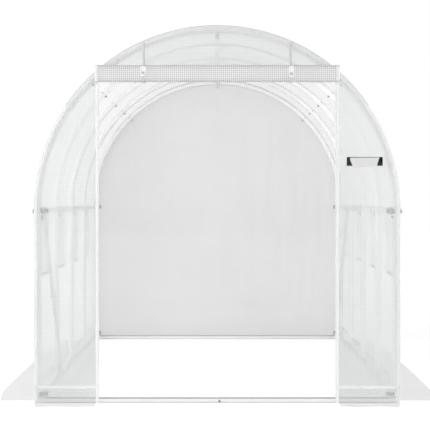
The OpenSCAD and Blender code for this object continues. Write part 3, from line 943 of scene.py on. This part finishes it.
def buckle(width, height):
    """A ladder buckle: a rounded frame, two cross bars, a curved thumb tab and a plate behind the bars."""
    frame_bar = tube_along(loop_path(width, height, 0.006), 0.0024)
    bars = [tube_along([[-width / 2, 0, z], [0, 0, z], [width / 2, 0, z]], 0.0020)
            for z in (-height * 0.10, height * 0.24)]
    s = np.linspace(0, 1, 8)
    tab_line = np.stack([0 * s, -0.001 - 0.004 * s ** 2, -height * 0.46 - 0.010 * s], axis=1)
    plate_line = np.stack([0 * s, 0.0012 + 0 * s, -height * 0.1 + height * 0.56 * s], axis=1)
    return joined([frame_bar, *bars, ribbon(tab_line, width * 0.8, 0.0026),
                   ribbon(plate_line, width * 0.86, 0.0016)])


for side, name, buckle_h, drop in ((-1, "left", 0.043, 0.0), (1, "right", 0.050, 0.003)):
    strap = mesh_piece(name + "_door_strap", joined([
        ribbon(path + [side * tie_x, 0, 0], strap_w, strap_t) for path in (strap_path, front_path)]), webbing)
    points, faces = buckle(buckle_w, buckle_h)
    tie_buckle = mesh_piece(name + "_door_buckle", (points + buckle_at + [side * tie_x, 0, -drop], faces),
                            buckle_plastic)
    for piece in (strap, tie_buckle):
        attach(piece, "root")
    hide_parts(name + "_door_tie")


# ---- Windows -----------------------------------------------------------------------------
# Behind each window is insect mesh, held by a strip sewn round the opening. Above it the film
# flap is rolled up and held by two thin straps, whose tails hang free.

mesh_border, mesh_gap, mesh_behind, mesh_pitch, wire_share = 0.020, 0.025, 0.0022, 0.0016, 0.30
insect_mesh, tree = new_material("insect_mesh")
flat_cut = add_node(tree, "UVMap", {}, uv_map="developed").outputs[0]
ways = add_node(tree, "SeparateXYZ", {0: flat_cut}).outputs
wires = [worked_out(tree, "LESS_THAN", worked_out(tree, "FRACT", worked_out(tree, "DIVIDE", run, mesh_pitch)),
                    wire_share) for run in (ways["X"], ways["Y"])]
mesh_face = add_node(tree, "BsdfPrincipled", {"Base Color": (0.72, 0.73, 0.725, 1), "Roughness": 0.6})
mesh_clear = add_node(tree, "BsdfTransparent", {})
mesh_mix = add_node(tree, "MixShader", {0: worked_out(tree, "MAXIMUM", *wires), 1: mesh_clear.outputs[0],
                                        2: mesh_face.outputs[0]})
add_node(tree, "OutputMaterial", {"Surface": mesh_mix.outputs[0]})

# Painted shade: the rolled flap's film is opaque, and the cells between its threads are painted darker for
# the shade inside the roll
flap_film_painted_shade = film_material("flap_film_painted_shade", 0.0, 0.0, grey(0.72), grey(0.88), glow=0.45, slack=0.25)
flap_low, flap_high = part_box("right_window_flaps")
flap_r = (flap_high.z - flap_low.z) / 2
flap_x = (flap_low.x + flap_high.x) / 2
flap_z = (flap_low.z + flap_high.z) / 2
flap_half, flap_tie, flap_turns, flap_layer, border_w = 0.230, 0.150, 5, 0.0042, 0.012


def window_ring(y, width, x):
    """A flat rectangular ring round a window, that wide, in the upright plane at x. Its four inner corners
    come first."""
    points = []
    for grow in (0.0, width):
        a, b = y - window_w / 2 - grow, y + window_w / 2 + grow
        low, high = window_low - grow, window_top + grow * 0.8
        points += [(x, a, low), (x, b, low), (x, b, high), (x, a, high)]
    return np.array(points), np.array([(0, 1, 5, 4), (1, 2, 6, 5), (2, 3, 7, 6), (3, 0, 4, 7)])


# A flap's spiral, pinched at its two straps, and a strap's run: round the roll, then the tail
along = between(-flap_half, -flap_tie, flap_tie, flap_half, step=0.012)
pinched = 0.0018 * np.exp(-((np.abs(along) - flap_tie) / 0.012) ** 2)
angle = np.linspace(0, flap_turns * 2 * np.pi, flap_turns * 40 + 1)
radius = np.linspace(flap_r - flap_turns * flap_layer, flap_r, len(angle))
lump = waves(angle[:, None] / (2 * np.pi), along[None], [(0.0006, 1.0, 3.1, 0.5), (0.0004, 2.0, 6.7, 1.0)])
rolled_r = radius[:, None] - (pinched[None] + lump + 0.0009) * (radius / flap_r)[:, None]
run = np.concatenate([[0], np.cumsum((radius[1:] + radius[:-1]) / 2 * np.diff(angle))])
turn = np.radians(np.linspace(165, -120, 36))
wrap = (flap_r - 0.0012) * np.stack([np.cos(turn), np.sin(turn)], axis=1)
strap_line = np.concatenate([wrap, [[0.004, -0.026], [0.009, -0.036], [0.013, -0.043], [0.020, -0.046]]])

for side, name in ((-1, "left"), (1, "right")):
    mesh_x = side * (film_low.x + film_high.x) / 2 - side * mesh_behind
    s = np.linspace(-1, 1, 15)
    pane_z = np.linspace(window_low - mesh_border, window_top + mesh_border - mesh_gap, 15)
    panes, pane_cut = [], []
    for y in window_y:
        py, pz = np.meshgrid(y + s * (window_w / 2 + mesh_border), pane_z, indexing="ij")
        bow = 0.0015 * np.sin((py - y) * 8.0) * np.sin(pz * 9.0)
        panes.append(surface(np.stack([mesh_x + bow, py, pz], axis=-1)))
        pane_cut.append(np.stack([py, pz], axis=-1).reshape(-1, 2))
    window_mesh = mesh_piece(name + "_insect_mesh", joined(panes), insect_mesh,
                             developed=np.concatenate(pane_cut))
    rings = joined([window_ring(y, border_w, side * (film_x + 0.0008)) for y in window_y])
    border = mesh_piece(name + "_window_borders", rings, rim_film, developed=np.zeros((len(rings[0]), 2)))
    thicken(border, 0.0010, 0.0)
    for piece in (window_mesh, border):
        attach(piece, "root")
    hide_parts(name + "_window_meshes")

    strap_path = np.stack([side * (flap_x + strap_line[:, 0]), 0 * strap_line[:, 0],
                           flap_z + strap_line[:, 1]], axis=1)
    rolls, roll_cuts, straps = [], [], []
    for y in window_y:
        rolls.append(surface(np.stack(np.broadcast_arrays(
            side * (flap_x + rolled_r * np.cos(angle)[:, None]), y + along,
            flap_z + rolled_r * np.sin(angle)[:, None]), axis=-1), flip=side > 0))
        roll_cuts.append(np.stack(np.broadcast_arrays(run[:, None], y + along), axis=-1).reshape(-1, 2))
        straps += [ribbon(strap_path + [0, y + end, 0], 0.010, 0.0010, across=(0, side, 0))
                   for end in (-flap_tie, flap_tie)]
    flaps = mesh_piece(name + "_rolled_flaps", joined(rolls), flap_film_painted_shade, developed=np.concatenate(roll_cuts))
    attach(flaps, "root")
    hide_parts(name + "_window_flaps")
    flap_straps = mesh_piece(name + "_flap_straps", joined(straps), webbing)
    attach(flap_straps, "root")


# ---- Label -------------------------------------------------------------------------------
# A plain woven label with black end tabs and a thin black upper edge is sewn to the door end.
# It is blank.

label_cloth = patterned("pale_label_cloth", 500.0, grey(0.70), grey(0.74), ribs=0.5, bump=0.2, Roughness=0.6)
label_black = patterned("black_label_cloth", 500.0, grey(0.010), grey(0.022), ribs=0.5, bump=0.3,
                        Roughness=0.65, Specular_IOR_Level=0.2)


def flat_patch(corners, y):
    """A four-sided patch facing the front: its corners are (x, z), in order round it."""
    return np.array([(x, y, z) for x, z in corners]), np.array([(0, 1, 2, 3)])


label_low, label_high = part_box("blank_label")
label_y = -end_y - 0.0062
x0, x1, z0, z1 = label_low.x, label_high.x, label_low.z, label_high.z
tab_z = z0 + 0.004
tab_top, tab_foot, edge_h = 0.018, 0.031, 0.0038
label_strip = mesh_piece("label_strip", flat_patch([(x0, z0), (x1, z0), (x1, z1), (x0, z1)], label_y),
                         label_cloth, flat_shaded=True)
label_tabs = mesh_piece("label_tabs", joined([flat_patch(corners, y) for corners, y in (
    ([(x0, tab_z), (x0 + tab_foot, tab_z), (x0 + tab_top, z1 - 0.016), (x0 + tab_top, z1)], label_y - 0.0007),
    ([(x0, tab_z), (x0 + tab_top, z1), (x0, z1), (x0, z1 - 0.02)], label_y - 0.0007),
    ([(x1 - tab_foot, tab_z), (x1, tab_z), (x1, z1 - 0.016), (x1 - tab_top, z1)], label_y - 0.0007),
    ([(x1, tab_z), (x1, z1 - 0.01), (x1, z1), (x1 - tab_top, z1)], label_y - 0.0007),
    ([(x0 + tab_top, z1 - edge_h), (x1 - tab_top, z1 - edge_h * 0.6), (x1 - tab_top, z1), (x0 + tab_top, z1)],
     label_y - 0.0006),
)]), label_black, flat_shaded=True)
for piece in (label_strip, label_tabs):
    thicken(piece, 0.0006, -1.0)
    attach(piece, "root")
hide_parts("blank_label")
